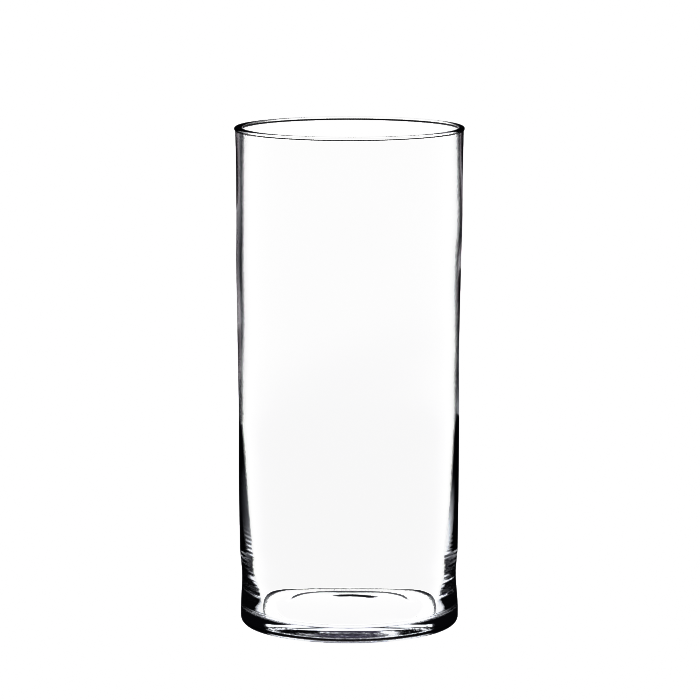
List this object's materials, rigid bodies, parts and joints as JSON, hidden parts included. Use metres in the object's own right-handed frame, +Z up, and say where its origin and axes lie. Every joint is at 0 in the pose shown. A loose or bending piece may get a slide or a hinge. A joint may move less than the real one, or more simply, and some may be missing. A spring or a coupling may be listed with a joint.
{
  "type": "cylinder vase",
  "caption": "Tall round vase of clear glass, slightly flared, with a rounded lip, a thick heel and base, and a shallow hollow underneath.",
  "frame": {"origin": "centre of the base, on the surface that the vase stands on", "axes": "+Z up along the vase's axis, towards the mouth; X and Y are alike, because the vase is round"},
  "size_m": [0.1828, 0.1828, 0.4],
  "materials": {
    "clear_glass": "polished, with slight waves and faint chill marks"
  },
  "bodies": {
    "root": {"base": "clear_glass", "foot": "clear_glass", "heel": "clear_glass", "lower_wall": "clear_glass", "upper_wall": "clear_glass", "rim": "clear_glass"}
  },
  "joints": []
}
